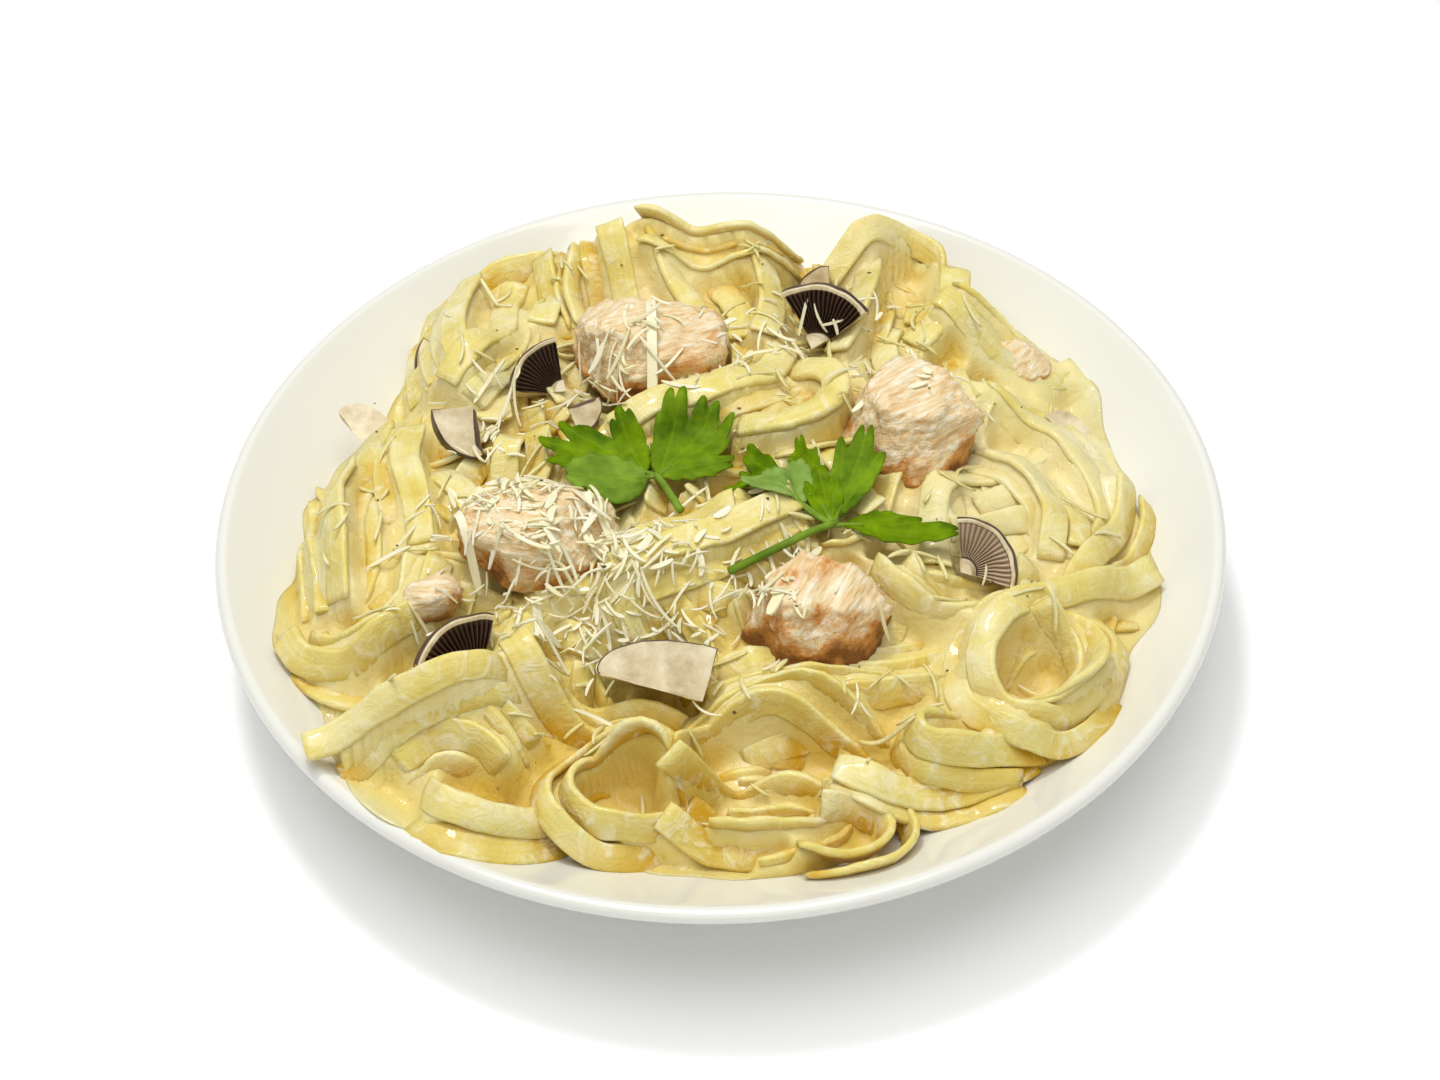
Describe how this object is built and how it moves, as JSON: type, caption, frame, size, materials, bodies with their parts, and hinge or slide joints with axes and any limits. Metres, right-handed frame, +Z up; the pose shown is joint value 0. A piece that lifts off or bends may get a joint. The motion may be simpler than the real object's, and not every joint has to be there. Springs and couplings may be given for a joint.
{
  "type": "plate of fettuccine alfredo",
  "caption": "Round coupe plate heaped with fettuccine in cream sauce, topped with chicken chunks, mushroom pieces, shredded cheese and parsley sprigs.",
  "frame": {"origin": "middle of the plate's foot, on the surface the plate stands on", "axes": "+Z up; -Y is the front, towards the diner; +X is to the diner's right"},
  "size_m": [0.27, 0.27, 0.0684],
  "materials": {
    "plate_glaze": "glossy ivory-white glaze",
    "cream_sauce": "wet, pale yellow cream with faint lumps of cheese",
    "noodles": "moist pale yellow pasta coated in cream",
    "chicken": "moist pale meat, seared orange-brown at edges",
    "mushroom": "beige flesh with brown skin and dark gills",
    "parsley": "fresh green leaf with a faint sheen",
    "cheese": "pale hard cheese in thin shreds",
    "pepper": "dry ground pepper and herb specks"
  },
  "bodies": {
    "root": {"plate": "plate_glaze", "cream_sauce": "cream_sauce", "noodle_heap": "noodles", "chicken_back": "chicken", "chicken_right": "chicken", "chicken_left": "chicken", "chicken_front": "chicken", "chicken_side": "chicken", "chicken_sunk": "chicken", "mushroom_back": "mushroom", "mushroom_behind": "mushroom", "mushroom_gills": "mushroom", "mushroom_strip": "mushroom", "mushroom_left": "mushroom", "mushroom_tip": "mushroom", "mushroom_rim_left": "mushroom", "mushroom_inner": "mushroom", "mushroom_pit": "mushroom", "mushroom_front": "mushroom", "mushroom_right": "mushroom", "mushroom_rim_right": "mushroom", "mushroom_sliver": "mushroom", "parsley_left": "parsley", "parsley_right": "parsley"}
  },
  "joints": []
}
